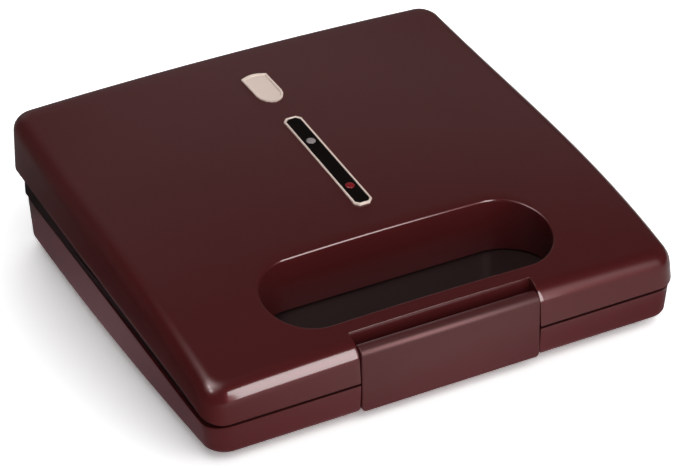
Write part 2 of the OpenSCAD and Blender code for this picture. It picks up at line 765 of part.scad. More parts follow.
// Wires: a round tube along a few chosen points
wire_sides = 8;
wire_r = 1.2;
function wire_dir(p, i) = unit(p[min(i + 1, len(p) - 1)] - p[max(i - 1, 0)]);
function wire_ring(c, d) =
    let (
        side = abs(d.z) > 0.9 ? unit(cross(d, [0, 1, 0])) : unit(cross(d, [0, 0, 1])),
        up = cross(side, d)
    )
    [for (k = [0:wire_sides - 1]) c + wire_r * (side * cos(360 * k / wire_sides) + up * sin(360 * k / wire_sides))];
module wire(p) {
    skin(p[0], [for (i = [0:len(p) - 1]) wire_ring(p[i], wire_dir(p, i))], last(p), downward = true);
}
wire_x = heater_end_x + 6 + wire_r + 0.1;
module lower_wiring() {
    heat_y = plate_y - heater_span / 2;
    far_x = wire_x + 3;
    under_z = clamp_z + clamp_t + wire_r + 0.5;
    end_y = plate_y - tab_y;
    color("ivory") {
        wire([
            [block_x + block_bore_span, block_y + 9, block_wire_z], [block_x + block_bore_span, block_y + 16, block_wire_z],
            [wire_x, block_y + 26, heater_z], [wire_x, heat_y - 8, heater_z], [wire_x, heat_y + 1.5, heater_z]
        ]);
        wire([
            [block_x, block_y + 9, block_wire_z], [block_x, block_y + 13, block_wire_z],
            [far_x - 6, block_y + 16, under_z], [far_x, block_y + 24, under_z], [far_x, end_y - 9, under_z],
            [far_x - 9, end_y, under_z], [tab_x + 8, end_y, under_z], [tab_x + 0.1, end_y, tab_z + 0.4]
        ]);
    }
}

// The lid's casing: shell, handle well, latch channel, screw bosses
boss_top_z = 80;
lid_boss_r = 3.8;
lid_boss_depth = 9;
lid_head_r = 2.6;
module upper_casing() {
    trim_z = top_z(0, trim_y);
    badge_z = top_z(0, badge_y);
    color(burgundy)
        difference() {
            union() {
                lid_shell();
                intersection() {
                    lid_solid();
                    union() {
                        handle_prism(wall, deck_up, boss_top_z);
                        box(-pocket_half - cheek, pocket_half + cheek, front_y - cut, handle_front_y, deck_up, boss_top_z);
                        mirrored()
                            for (p = lid_screw_spots)
                                z_rod(lid_boss_r, p.x, p.y, lid_boss_z(p), boss_top_z);
                        on_top(trim_y)
                            for (s = [-1, 1])
                                translate([0, s * (trim_l / 2 + 3.2), board_t + fit_gap - board_z])
                                    cylinder(r = 2, h = board_z - board_t - 1);
                    }
                }
            }
            handle_prism(0, 0, 100);
            x_rod(channel_r, -pocket_half, pocket_half, latch_pin_y, latch_pin_z);
            box(-pocket_half, pocket_half, channel_rear_y + wall, handle_front_y - wall, 0, latch_pin_z + 2);
            box(-pocket_half, pocket_half, front_y - 5, channel_rear_y, latch_pin_z, 80);
            box(-pocket_half, pocket_half, front_y - 5, latch_pin_y + 2, 0, latch_pin_z);
            x_rod(pin_r + fit_gap, -pocket_half - 1.8, pocket_half + 1.8, latch_pin_y, latch_pin_z);
            mirrored()
                for (p = lid_screw_spots)
                    z_rod(screw_r + fit_gap, p.x, p.y, 0, lid_boss_z(p) + lid_boss_depth);
            on_top(trim_y) {
                translate([-trim_w / 2 - 0.05, -trim_l / 2 - 0.05, -trim_seat]) cube([trim_w + 0.1, trim_l + 0.1, 9]);
                translate([-trim_w / 2 + 0.6, -trim_l / 2 + 0.6, -9]) cube([trim_w - 1.2, trim_l - 1.2, 12]);
            }
            on_top(badge_y)
                translate([0, 0, -badge_seat])
                    linear_extrude(height = 5)
                        polygon(shield(badge_w + 0.1, badge_l + 0.1));
        }
}
lid_screw_sink = 2;
function lid_head_z(p) = (p.y < step_y ? deck_up : upper_low) + lid_screw_sink;
function lid_boss_z(p) = (p.y < step_y ? deck_up + 2 * frame_t : upper_above) + fit_gap;
module on_top(y) {
    translate([0, y, top_z(0, y)]) rotate([top_slope(y), 0, 0]) children();
}

// The lid's frame carries the upper plate and the hinge arms
upper_above = upper_low + flange_t + frame_t;
module upper_frame() {
    low = function (y) y < step_y ? deck_up : upper_low;
    high = function (y) max(lid_edge(y) + 4, y < step_y ? deck_up + frame_t : upper_above);
    color(jet)
        difference() {
            union() {
                intersection() {
                    translate([0, 0, deck_up])
                        linear_extrude(height = 40)
                            polygon(lid_outline(wall + lid_draft + seat_gap));
                    between_curves(low, high, front_y - 5, rear_y + 5);
                    frame_region(front_y, lid_frame_rear_y);
                }
                mirrored() hinge_arm();
                mirrored()
                    for (p = lid_screw_spots)
                        z_rod(lid_boss_r, p.x, p.y, lid_head_z(p) - 1, lid_boss_z(p) - fit_gap);
                mirrored()
                    for (s = [0, 1])
                        box(plate_w / 2 - 14, plate_w / 2 + 1, lug_y(s) - 6, lug_y(s) + 6, upper_above - 1,
                            2 * plate_z - lower_lug_z);
            }
            difference() {
                translate([0, 0, deck_up + frame_t])
                    linear_extrude(height = 60)
                        polygon(lid_outline(wall + 3));
                box(-front_w, front_w, step_y - 1.6, lid_frame_rear_y + 20, 0, upper_above);
                box(-front_w, front_w, lid_frame_rear_y - 2.2, lid_frame_rear_y + 20, 0, hinge_z + 6);
                mirrored()
                    for (p = lid_screw_spots)
                        z_rod(lid_boss_r, p.x, p.y, 0, lid_boss_z(p) - fit_gap);
                mirrored()
                    for (s = [0, 1])
                        box(plate_w / 2 - 14, plate_w / 2 + 1, lug_y(s) - 6, lug_y(s) + 6, 0, 2 * plate_z - lower_lug_z);
            }
            box(-front_w, front_w, step_y - seat_gap, lid_frame_rear_y, 0, upper_low);
            plate_hole(0, 2 * plate_z - lower_lug_z - lug_t);
            box(-plate_w / 2 + 14, plate_w / 2 - 14, plate_front_y + 5, plate_rear_y - 5, 0, 90);
            box(-plate_w / 2, plate_w / 2, plate_front_y + 20, plate_rear_y - 20, upper_above, 90);
            plate_seat(0, upper_low + flange_t + 0.01);
            flip_to_lid() plate_room();
            handle_prism(wall + seat_gap, 0, 90);
            box(-pocket_half - cheek - seat_gap, pocket_half + cheek + seat_gap, front_y - 5, handle_front_y + 1, 0, 90);
            mirrored()
                for (p = lid_screw_spots) {
                    z_rod(screw_r + 0.2, p.x, p.y, 0, 90);
                    z_rod(lid_head_r + 0.3, p.x, p.y, 0, lid_head_z(p) + 0.01);
                    z_rod(lid_boss_r + seat_gap, p.x, p.y, lid_boss_z(p) - fit_gap, 90);
                }
            mirrored()
                for (s = [0, 1])
                    z_rod(screw_r + 0.2, plate_w / 2 - plate_screw_inset, lug_y(s), 0, 90);
            x_rod(pin_r + pin_gap, -hinge_x - 30, hinge_x + 30, hinge_y, hinge_z);
        }
}
module hinge_arm() {
    x0 = hinge_x - arm_w / 2;
    x1 = hinge_x + arm_w / 2;
    x_rod(arm_r, x0, x1, hinge_y, hinge_z);
    box(x0, x1, lid_frame_rear_y - 1, hinge_y, hinge_z - arm_r + 0.6, hinge_z + arm_r);
    box(x0 + 1, x1 - 1, hinge_y - 1.5, hinge_y + 1.5, hinge_z, hinge_z + heel_l);
}
module lid_screws() {
    color(steel)
        mirrored()
            for (p = lid_screw_spots)
                translate([p.x, p.y, lid_head_z(p)])
                    screw(screw_r, lid_head_r, lid_screw_sink - 0.2, lid_boss_depth + 0.5);
}

// Indicator strip
trim_y = front_y + trim_setback;
trim_seat = 0.9;
trim_rise = 0.45;
trim_bar = 1.3;
neck_l = 3.4;
module trim_outline(inset) {
    c = 2.2;
    x = trim_w / 2 - inset;
    y = trim_l / 2 - inset;
    polygon([
        [x, y - c], [x - c, y], [c - x, y], [-x, y - c], [-x, c - y], [c - x, -y], [x - c, -y], [x, c - y]
    ]);
}
module indicator_trim() {
    color(champagne)
        on_top(trim_y) {
            translate([0, 0, -trim_seat])
                linear_extrude(height = trim_seat + trim_rise)
                    difference() {
                        trim_outline(0);
                        trim_outline(trim_bar);
                    }
            translate([0, 0, -neck_l])
                linear_extrude(height = neck_l - trim_seat + 0.1)
                    difference() {
                        trim_outline(0.7);
                        trim_outline(trim_bar);
                    }
        }
}
module indicator_window() {
    color("black")
        on_top(trim_y)
            translate([0, 0, trim_rise - 2])
                linear_extrude(height = 1.7)
                    difference() {
                        trim_outline(trim_bar + 0.05);
                        for (s = [-1, 1]) translate([0, s * lamp_span / 2 - lamp_shift]) circle(d = lamp_d + 0.1);
                    }
}
lamp_shift = 3.1;
module lamp(s) {
    on_top(trim_y)
        translate([0, s * lamp_span / 2 - lamp_shift, trim_rise - 2]) {
            cylinder(d = lamp_d, h = 1.8);
            translate([0, 0, 1.8]) intersection() {
                translate([0, 0, -4]) sphere(r = 4.5);
                cylinder(d = lamp_d, h = 3);
            }
            translate([0, 0, -board_drop]) cylinder(d = lamp_d - 1, h = board_drop);
        }
}
board_drop = 4;
board_t = 1.3;
board_l = trim_l + 12;
board_z = 2 - trim_rise + board_drop + board_t + 0.1;
module power_lamp() {
    color("white") lamp(1);
}
module ready_lamp() {
    color("red") lamp(-1);
}
module lamp_board() {
    color("#3A5A30")
        on_top(trim_y)
            translate([0, 0, -board_z])
                linear_extrude(height = board_t)
                    square([trim_w + 2, board_l], center = true);
}

// Blank shield badge
badge_y = front_y + badge_setback;
badge_seat = 0.7;
function shield(w, l) = concat(
    [for (i = [0:8]) [-w / 2 + w * i / 8, l / 2 - 2 + 2 * sin(180 * i / 8)]],
    [[w / 2, -l * 0.2], [w * 0.42, -l * 0.33], [w * 0.2, -l * 0.45], [0, -l / 2]],
    [[-w * 0.2, -l * 0.45], [-w * 0.42, -l * 0.33], [-w / 2, -l * 0.2]]
);
module badge() {
    color(champagne)
        on_top(badge_y)
            translate([0, 0, -badge_seat])
                linear_extrude(height = badge_seat + 0.7)
                    polygon(shield(badge_w, badge_l));
}

// Latch, its pin and the steel striker in the base
module latch_pin() {
    color(steel) x_rod(pin_r, -pocket_half - 1.6, pocket_half + 1.6, latch_pin_y, latch_pin_z);
}
module latch() {
    half = latch_w / 2;
    c = 1.8;
    color(burgundy)
        difference() {
            union() {
                x_rod(barrel_r, -half, half, latch_pin_y, latch_pin_z);
                translate([0, front_y + latch_t, 0])
                    rotate([90, 0, 0])
                        linear_extrude(height = latch_t)
                            polygon([
                                [-half, latch_pin_z], [-half, latch_foot_z + c], [c - half, latch_foot_z],
                                [half - c, latch_foot_z], [half, latch_foot_z + c], [half, latch_pin_z]
                            ]);
                for (s = [-1, 1])
                    box(s * hook_x - hook_w / 2, s * hook_x + hook_w / 2, latch_face_y - 0.5, hook_tip_y,
                        hook_z - hook_t, hook_z);
            }
            x_rod(pin_r + pin_gap, -half - 1, half + 1, latch_pin_y, latch_pin_z);
        }
}
striker_screw_x = hook_x / 2;
striker_screw_z = hook_z + 3;
module latch_striker() {
    color(steel)
        difference() {
            box(-hook_x - window_half - 3, hook_x + window_half + 3, notch_y - striker_t, notch_y - 0.02,
                window_z0 - 2, striker_screw_z + 3);
            for (s = [-1, 1])
                box(s * hook_x - window_half, s * hook_x + window_half, notch_y - 3, notch_y + 3, window_z0, window_z1);
            for (s = [-1, 1])
                translate([s * striker_screw_x, notch_y - 3, striker_screw_z])
                    rotate([-90, 0, 0])
                        cylinder(r = 1.3, h = 6, $fn = 24);
        }
}
module striker_screws() {
    color(steel)
        for (s = [-1, 1])
            translate([s * striker_screw_x, notch_y - striker_t, striker_screw_z])
                rotate([-90, 0, 0]) {
                    translate([0, 0, -0.7]) cylinder(r = 2.2, h = 0.7, $fn = 24);
                    cylinder(r = 1.05, h = 6, $fn = 24);
                }
}
module upper_wiring() {
    y0 = lid_frame_rear_y - 5.3;
    heat_z = 2 * plate_z - heater_z;
    heat_y = plate_y + heater_span / 2;
    end_y = trim_y + board_l / 2 - 6;
    color("ivory") {
        wire([
            [hinge_x - 12, y0, upper_above + 3], [hinge_x - 12, y0, heat_z + 5], [40, y0 - 16, heat_z + 10],
            [8, end_y + 10, top_z(0, end_y) - board_z - 3], [0, end_y, top_z(0, end_y) - board_z - wire_r - 0.2]
        ]);
        wire([
            [hinge_x + 12, y0, upper_above + 3], [hinge_x + 14, y0, heat_z - 3], [wire_x, heat_y + 12, heat_z],
            [wire_x, heat_y - 1.5, heat_z]
        ]);
    }
}

lower_casing();
lower_frame();
lower_plate();
lower_heater();
lower_clamps();
lower_reflector();
lower_plate_screws();
clamp_screws_lower();
feet();
base_screws();
latch_striker();
striker_screws();
hinge_pins();
thermostat();
thermal_fuse();
terminal_block();
cord_inlet();
lower_wiring();
upper_casing();
upper_frame();
upper_plate();
upper_heater();
upper_clamps();
upper_reflector();
upper_plate_screws();
clamp_screws_upper();
lid_screws();
indicator_trim();
indicator_window();
power_lamp();
ready_lamp();
lamp_board();
upper_wiring();
badge();
latch_pin();
latch();
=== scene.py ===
import json
import math

import bmesh
import bpy
from mathutils import Matrix, Vector


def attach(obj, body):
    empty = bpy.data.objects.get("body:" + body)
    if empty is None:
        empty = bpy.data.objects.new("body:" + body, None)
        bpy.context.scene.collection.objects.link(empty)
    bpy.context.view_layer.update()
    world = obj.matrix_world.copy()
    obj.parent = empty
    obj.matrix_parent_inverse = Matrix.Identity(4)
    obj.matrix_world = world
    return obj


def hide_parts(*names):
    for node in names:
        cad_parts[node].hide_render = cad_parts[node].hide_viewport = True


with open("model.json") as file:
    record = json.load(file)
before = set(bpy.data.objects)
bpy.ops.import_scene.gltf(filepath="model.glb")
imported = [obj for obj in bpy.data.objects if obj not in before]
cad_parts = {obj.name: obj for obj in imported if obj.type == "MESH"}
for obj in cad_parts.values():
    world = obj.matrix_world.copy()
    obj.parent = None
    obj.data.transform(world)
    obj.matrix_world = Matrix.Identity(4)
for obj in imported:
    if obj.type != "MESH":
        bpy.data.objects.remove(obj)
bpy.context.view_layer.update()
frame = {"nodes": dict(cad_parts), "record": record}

# Pieces are modelled in millimetres and brought to metres when they are finished
mm = 0.001
mergeGap = 0.002  # mm, vertices closer than this become one
print("frame loaded:", len(frame["nodes"]), "nodes")

# Camera, fitted to the photograph: degrees and metres, with the lens and its sensor in millimetres
cameraView = {
    "azimuth": -27.65,
    "elevation": 30.71,
    "roll": -1.34,
    "lens": 163.57,
    "sensor": 36,
    "distance": 1.4912,
    "farClip": 50,
    "aimHeight": 0.03,
    "slide": (0.0033, -0.00302),  # to the right and up, across the view
}


def makeCamera(view):
    a, e, roll = (math.radians(view[key]) for key in ("azimuth", "elevation", "roll"))
    back = Vector((math.sin(a) * math.cos(e), -math.cos(a) * math.cos(e), math.sin(e)))
    level = Vector((math.cos(a), math.sin(a), 0))
    upright = back.cross(level)
    right = level * math.cos(roll) + upright * math.sin(roll)
    up = upright * math.cos(roll) - level * math.sin(roll)
    data = bpy.data.cameras.new("photoCamera")
    data.lens = view["lens"]
    data.sensor_width = view["sensor"]
    data.clip_end = view["farClip"]
    camera = bpy.data.objects.new("photoCamera", data)
    matrix = Matrix((right, up, back)).transposed().to_4x4()
    matrix.translation = Vector((0, 0, view["aimHeight"])) + right * view["slide"][0] + up * view["slide"][1]
    matrix.translation += back * view["distance"]
    camera.matrix_world = matrix
    bpy.context.scene.collection.objects.link(camera)
    bpy.context.scene.camera = camera


makeCamera(cameraView)
print("camera placed")


# Materials: colours are sRGB hex values, and the size of each pattern is in millimetres
def srgb(text):
    values = [int(text[i : i + 2], 16) / 255 for i in (1, 3, 5)]
    return (*[v / 12.92 if v <= 0.04045 else ((v + 0.055) / 1.055) ** 2.4 for v in values], 1.0)


def patternScale(size):
    return 1 / (size * mm)


def addNode(tree, kind, inputs=None, **settings):
    # returns the node's first output in use, from which .node leads to the others
    node = tree.nodes.new(kind)
    for key, value in settings.items():
        setattr(node, key, value)
    for key, value in (inputs or {}).items():
        socket = node.inputs[key]
        if isinstance(key, str):
            socket = next(s for s in node.inputs if s.name == key and s.enabled)
        if isinstance(value, bpy.types.NodeSocket):
            tree.links.new(value, socket)
        else:
            socket.default_value = value
    return next((s for s in node.outputs if s.enabled), None)


def startMaterial(name):
    material = bpy.data.materials.new(name)
    material.use_nodes = True
    tree = material.node_tree
    tree.nodes.clear()
    place = addNode(tree, "ShaderNodeTexCoord").node.outputs["Object"]
    return material, tree, place


# Moulded ABS sprayed with pearl burgundy lacquer and a clear coat: a red brown that turns rosy where the
# pearl catches the light, under a coat that mirrors softly. The latch's coat is rubbed down to satin.
def pearlLacquer(name, coatWeight, coatRoughness):
    look = {
        "dark": "#441718",
        "light": "#4E1B1C",
        "pearl": "#FF6A70",
        "cloud": 60,  # mm, slow drift of the sprayed colour
        "flake": 0.9,  # mm, far coarser than real flake, so that it shows at all
        "flakeShare": 0.35,
        "peel": 7,  # mm, the faint orange peel of the clear coat
        "peelStrength": 0.02,
        "peelDepth": 0.001,
        "roughness": 0.33,
        "specular": 0.25,
    }
    material, tree, place = startMaterial(name)
    patterns = (
        {"Vector": place, "Scale": patternScale(look[key]), "Detail": detail}
        for key, detail in (("cloud", 2.0), ("flake", 1.0), ("peel", 1.0))
    )
    cloud, flake, peel = (addNode(tree, "ShaderNodeTexNoise", pattern) for pattern in patterns)
    drift = addNode(tree, "ShaderNodeMix", {"Factor": look["flakeShare"], "A": cloud, "B": flake})
    tones = {"Factor": drift, "A": srgb(look["dark"]), "B": srgb(look["light"])}
    ripple = {"Height": peel, "Strength": look["peelStrength"], "Distance": look["peelDepth"]}
    shader = addNode(
        tree,
        "ShaderNodeBsdfPrincipled",
        {
            "Base Color": addNode(tree, "ShaderNodeMix", tones, data_type="RGBA"),
            "Roughness": look["roughness"],
            "Specular IOR Level": look["specular"],
            "Specular Tint": srgb(look["pearl"]),
            "Coat Weight": coatWeight,
            "Coat Roughness": coatRoughness,
            "Coat Normal": addNode(tree, "ShaderNodeBump", ripple),
        },
    )
    addNode(tree, "ShaderNodeOutputMaterial", {"Surface": shader})
    return material


# Moulded polypropylene in brown black, its mould spark-eroded: matte, so that it hardly mirrors
def texturedPolypropylene():
    look = {
        "dark": "#1B0B0B",
        "light": "#240F0F",
        "cloud": 40,  # mm, slow drift of the melt
        "grain": 0.8,  # mm, coarser than real spark erosion, so that it shows
        "grainStrength": 0.15,
        "grainDepth": 0.0004,
        "roughness": 0.55,
        "specular": 0.3,
    }
    material, tree, place = startMaterial("texturedPolypropylene")
    patterns = (
        {"Vector": place, "Scale": patternScale(look[key]), "Detail": detail}
        for key, detail in (("cloud", 2.0), ("grain", 3.0))
    )
    cloud, grain = (addNode(tree, "ShaderNodeTexNoise", pattern) for pattern in patterns)
    tones = {"Factor": cloud, "A": srgb(look["dark"]), "B": srgb(look["light"])}
    texture = {"Height": grain, "Strength": look["grainStrength"], "Distance": look["grainDepth"]}
    shader = addNode(
        tree,
        "ShaderNodeBsdfPrincipled",
        {
            "Base Color": addNode(tree, "ShaderNodeMix", tones, data_type="RGBA"),
            "Roughness": look["roughness"],
            "Specular IOR Level": look["specular"],
            "Normal": addNode(tree, "ShaderNodeBump", texture),
        },
    )
    addNode(tree, "ShaderNodeOutputMaterial", {"Surface": shader})
    return material


# Die-cast aluminium under a sprayed non-stick coat: charcoal, satin, with tiny light specks
def nonStickCoat():
    look = {
        "coat": "#2B2928",
        "speck": "#55514E",
        "speckSpacing": 1.6,  # mm
        "speckShare": 0.16,
        "grain": 1.1,  # mm, the sprayed coat's pebbling
        "grainStrength": 0.12,
        "grainDepth": 0.0005,
        "roughness": (0.36, 0.5),
        "specular": 0.6,
    }
    material, tree, place = startMaterial("nonStickCoat")
    cells = {"Vector": place, "Scale": patternScale(look["speckSpacing"])}
    distance = addNode(tree, "ShaderNodeTexVoronoi", cells)
    speck = addNode(tree, "ShaderNodeMath", {0: distance, 1: look["speckShare"]}, operation="LESS_THAN")
    pebbling = {"Vector": place, "Scale": patternScale(look["grain"]), "Detail": 2.0}
    grain = addNode(tree, "ShaderNodeTexNoise", pebbling)
    smooth, rough = look["roughness"]
    reach = {"Value": grain, "To Min": smooth, "To Max": rough}
    tones = {"Factor": speck, "A": srgb(look["coat"]), "B": srgb(look["speck"])}
    texture = {"Height": grain, "Strength": look["grainStrength"], "Distance": look["grainDepth"]}
    shader = addNode(
        tree,
        "ShaderNodeBsdfPrincipled",
        {
            "Base Color": addNode(tree, "ShaderNodeMix", tones, data_type="RGBA"),
            "Roughness": addNode(tree, "ShaderNodeMapRange", reach),
            "Specular IOR Level": look["specular"],
            "Normal": addNode(tree, "ShaderNodeBump", texture),
        },
    )
    addNode(tree, "ShaderNodeOutputMaterial", {"Surface": shader})
    return material


# The plainer finishes: one drifting tone, whose roughness drifts with it by a tenth or so
def driftingFinish(name, dark, light, roughness, pattern=(8.33,) * 3, swing=0.1, detail=2.0, levels=None):
    # pattern is its size in mm along each axis, by default a slow drift, and levels are other shader values
    material, tree, place = startMaterial(name)
    scales = tuple(patternScale(size) for size in pattern)
    marks = addNode(tree, "ShaderNodeMapping", {"Vector": place, "Scale": scales})
    drift = addNode(tree, "ShaderNodeTexNoise", {"Vector": marks, "Scale": 1.0, "Detail": detail})
    tones = {"Factor": drift, "A": srgb(dark), "B": srgb(light)}
    reach = {"Value": drift, "To Min": roughness * (1 - swing), "To Max": roughness * (1 + swing)}
    shader = addNode(
        tree,
        "ShaderNodeBsdfPrincipled",
        {
            "Base Color": addNode(tree, "ShaderNodeMix", tones, data_type="RGBA"),
            "Roughness": addNode(tree, "ShaderNodeMapRange", reach),
            **(levels or {}),
        },
    )
    addNode(tree, "ShaderNodeOutputMaterial", {"Surface": shader})
    return material


def metalFinish(name, dark, light, roughness, marks=(4.17, 4.17, 0.556), metallic=1.0):
    return driftingFinish(name, dark, light, roughness, marks, 0.15, 3.0, {"Metallic": metallic})


materials = {
    "casing": pearlLacquer("pearlLacquer", 1.0, 0.11),
    "latchFace": pearlLacquer("satinPearlLacquer", 0.7, 0.42),
    "frame": texturedPolypropylene(),
    "plate": nonStickCoat(),
    # turned or pressed steel, zinc plated: bright and cool, with fine marks from the tool
    "steel": metalFinish("zincPlatedSteel", "#9A9C9F", "#C3C5C8", 0.32),
    # drawn steel tube, dulled by heat: brown grey, hardly shining
    "heater": metalFinish("heatDulledSteel", "#4A4542", "#6A625D", 0.45),
    # rolled aluminium sheet: bright, with marks along the rolling
    "reflector": metalFinish("rolledAluminium", "#C4C6C8", "#DADCDD", 0.28, (8.33, 0.556, 8.33)),
    # ABS with a champagne metallic lacquer: pale and satin, it keeps its colour and mirrors little
    "trim": metalFinish("champagneLacquer", "#F6DDD0", "#FFEBDF", 0.34, (5.56, 0.37, 5.56), 0.15),
    # moulded rubber: black and matte
    "foot": driftingFinish("mouldedRubber", "#1B1B1B", "#252525", 0.8),
    "inlet": driftingFinish("mouldedRubberBush", "#161616", "#1E1E1E", 0.7),
    # moulded nylon: ivory, with a low sheen
    "block": driftingFinish("mouldedNylon", "#D8D2C4", "#E2DDD0", 0.5),
    # drawn silicone and woven glass sleeves: cream, dull
    "wire": driftingFinish("siliconeSleeve", "#D9D2C2", "#E6E0D2", 0.6),
    "fuse": driftingFinish("wovenGlassSleeve", "#CFC6B0", "#E2DAC6", 0.8),
    # smoked acrylic, polished: near black, with a weak clear mirror image
    "window": driftingFinish("smokedAcrylic", "#0B0706", "#100A09", 0.08, levels={"Specular IOR Level": 0.2}),
    # moulded polycarbonate lenses: unlit, milky grey and deep red
    "white_lens": driftingFinish("frostedPolycarbonate", "#8E8482", "#A0969A", 0.2),
    "red_lens": driftingFinish("redPolycarbonate", "#7A141C", "#8C1A22", 0.12),
    # glass fibre board under green solder mask: dark and half glossy
    "board": driftingFinish("solderMaskBoard", "#20452A", "#2A5233", 0.4),
}
print("materials made:", len(materials))

# The body's surfaces are the solid model's own, in millimetres. Each height runs from front to rear, with t
# from 0 to 1.
body = {
    "depth": 229.0,
    "lidFront": 247.2,
    "lidRear": 238.8,
    "lidBow": 1.4,
    "baseFront": 245.0,
    "baseRear": 228.0,
    "baseBow": 2.4,
    "cornerR": 10.0,
    "wall": 2.4,
    "top": {
        "front": 39.1,
        "rise": 37.5,
        "arch": 15.2,
        "sweep": 21.4,
        "crown": 2.5,
        "dome": 3.3,
        "domeShift": 3.1,
    },
    "lidEdge": {"front": 21.2, "rise": 21.0, "belly": 8.0, "lift": 3.2},
    "baseEdge": {"front": 19.9, "rise": 10.2, "belly": 20.4, "lift": -3.3},
    "liftReach": 0.04,  # how soon behind the front corners the lift is done, as a share of the depth
    "clear": 125.0,  # a cutter reaches this far in front of the origin
}
halfDepth = body["depth"] / 2


def along(y):
    return (y + halfDepth) / body["depth"]


def halfWidth(y, front, rear, bow):
    t = along(y)
    return (front + (rear - front) * t) / 2 + bow * (1 - (2 * t - 1) ** 2)


def topHeight(x, y):
    top = body["top"]
    t, u = along(y), 2 * x / body["lidFront"]
    h = t * (1 - t)
    arch = top["front"] + top["rise"] * t + h * (top["arch"] + top["sweep"] * (1 - 2 * t))
    dome = 4 * h * (top["dome"] + top["domeShift"] * (2 * t - 1)) * (1 - u * u)
    return arch - top["crown"] * u * u + dome


def edgeHeight(y, edge):
    t = max(along(y), 0)
    lift = edge["lift"] * (1 - math.exp(-t / body["liftReach"]))
    return edge["front"] + edge["rise"] * t + edge["belly"] * t * (1 - t) + lift


def makeRing(widths, inset, cornerR):
    # a rounded rectangle that lies inset from the body's outline
    radius = cornerR - inset / 2
    halfX, halfY = widths[0] / 2 - inset, halfDepth - inset
    return {
        "widths": widths,
        "inset": inset,
        "halfX": halfX,
        "halfY": halfY,
        "radius": radius,
        "cx": halfX - radius,
        "cy": halfY - radius,
    }


def ringPoint(start, inset, ring):
    # moves a point of the ring to another inset, and gives it the body's taper and bow
    grow = ring["inset"] - inset
    x, y = abs(start.x), abs(start.y)
    if x > ring["cx"] and y > ring["cy"]:
        away = Vector((x - ring["cx"], y - ring["cy"])).normalized()
        dx, dy = (1 + away.x) / 2, (1 + away.y) / 2
    elif x > ring["cx"]:
        dx, dy = 1, 0.5 * y / ring["cy"]
    else:
        dx, dy = 0.5 * x / ring["cx"], 1
    x = math.copysign(x + grow * dx, start.x)
    y = math.copysign(y + grow * dy, start.y)
    return x * halfWidth(y, *ring["widths"]) * 2 / ring["widths"][0], y


def edgesOf(geometry):
    return [g for g in geometry if isinstance(g, bmesh.types.BMEdge)]


def vertsOf(geometry):
    return [g for g in geometry if isinstance(g, bmesh.types.BMVert)]


def once(items):
    # each item once, in the order of the list, so that every run makes the same mesh
    return list(dict.fromkeys(items))


def bevelEdges(bm, edges, offset, segments):
    bmesh.ops.bevel(
        bm,
        geom=edges,
        offset=offset,
        segments=segments,
        profile=0.5,
        affect="EDGES",
        clamp_overlap=True,
        material=-1,
    )


def bevelCorners(bm, verts, offset, segments):
    bmesh.ops.bevel(
        bm, geom=verts, offset=offset, segments=segments, profile=0.5, affect="VERTICES", material=-1
    )


def quarter(steps):
    # sines and cosines from the first step of a quarter turn to its end
    return [(math.sin(a), math.cos(a)) for a in (math.pi / 2 * i / steps for i in range(1, steps + 1))]


def extrudeBy(bm, faces, vec):
    grown = bmesh.ops.extrude_face_region(bm, geom=faces)["geom"]
    bmesh.ops.translate(bm, vec=vec, verts=vertsOf(grown))
    return vertsOf(grown)


def outlineLoop(bm, ring, cornerSteps=8, straightCuts=31):
    verts = bmesh.ops.create_grid(bm, x_segments=1, y_segments=1, size=1)["verts"]
    bmesh.ops.scale(bm, vec=(ring["halfX"], ring["halfY"], 1), verts=verts)
    bevelCorners(bm, verts, ring["radius"], cornerSteps)
    face = max(bm.faces, key=lambda f: f.calc_area())
    loop = list(face.edges)
    straight = [e for e in loop if e.calc_length() > 2 * ring["radius"]]
    bmesh.ops.delete(bm, geom=[face], context="FACES_ONLY")
    cut = bmesh.ops.subdivide_edges(bm, edges=straight, cuts=straightCuts)
    return once([e for e in loop if e.is_valid] + edgesOf(cut["geom"]))


def stadiumLoop(bm, halfLength, radius, centre, endSteps=48, straightCuts=32):
    made = bmesh.ops.create_circle(bm, segments=2 * endSteps, radius=radius, cap_ends=False)["verts"]
    halfStep = math.pi / endSteps / 2
    bmesh.ops.rotate(bm, verts=made, cent=(0, 0, 0), matrix=Matrix.Rotation(halfStep, 3, "Z"))
    for side in (-1, 1):
        half = [v for v in made if v.co.x * side > 0]
        bmesh.ops.translate(bm, verts=half, vec=(side * (halfLength - radius), centre, 0))
    edges = once(e for v in made for e in v.link_edges)
    straight = [e for e in edges if e.calc_length() > halfLength]
    cut = bmesh.ops.subdivide_edges(bm, edges=straight, cuts=straightCuts)
    return once([e for e in edges if e.is_valid] + edgesOf(cut["geom"]))


def startLoop(bm, edges, place, step):
    # each vertex remembers where it lay on the flat outline, and is put in its first place
    layer = bm.verts.layers.float_vector.get("start") or bm.verts.layers.float_vector.new("start")
    for v in once(v for e in edges for v in e.verts):
        v[layer] = v.co
        v.co = place(v.co.copy(), *step)


def growLoop(bm, edges, steps, place):
    layer = bm.verts.layers.float_vector["start"]
    for step in steps:
        grown = bmesh.ops.extrude_edge_only(bm, edges=edges)["geom"]
        fresh = dict.fromkeys(vertsOf(grown))
        edges = [e for e in edgesOf(grown) if all(v in fresh for v in e.verts)]
        for v in fresh:
            v.co = place(v[layer].copy(), *step)
    return edges


def bridge(bm, first, second, cuts, settle):
    ends = {v for e in first + second for v in e.verts}
    made = bmesh.ops.bridge_loops(bm, edges=first + second)
    cut = bmesh.ops.subdivide_edges(bm, edges=made["edges"], cuts=cuts, use_grid_fill=True)
    for v in vertsOf(cut["geom_inner"]):
        if v not in ends:
            v.co.z = settle(v.co.x, v.co.y)


def boxMesh(bm, low, high):
    verts = bmesh.ops.create_cube(bm, size=1)["verts"]
    bmesh.ops.scale(bm, vec=[b - a for a, b in zip(low, high)], verts=verts)
    bmesh.ops.translate(bm, vec=[(a + b) / 2 for a, b in zip(low, high)], verts=verts)
    return verts


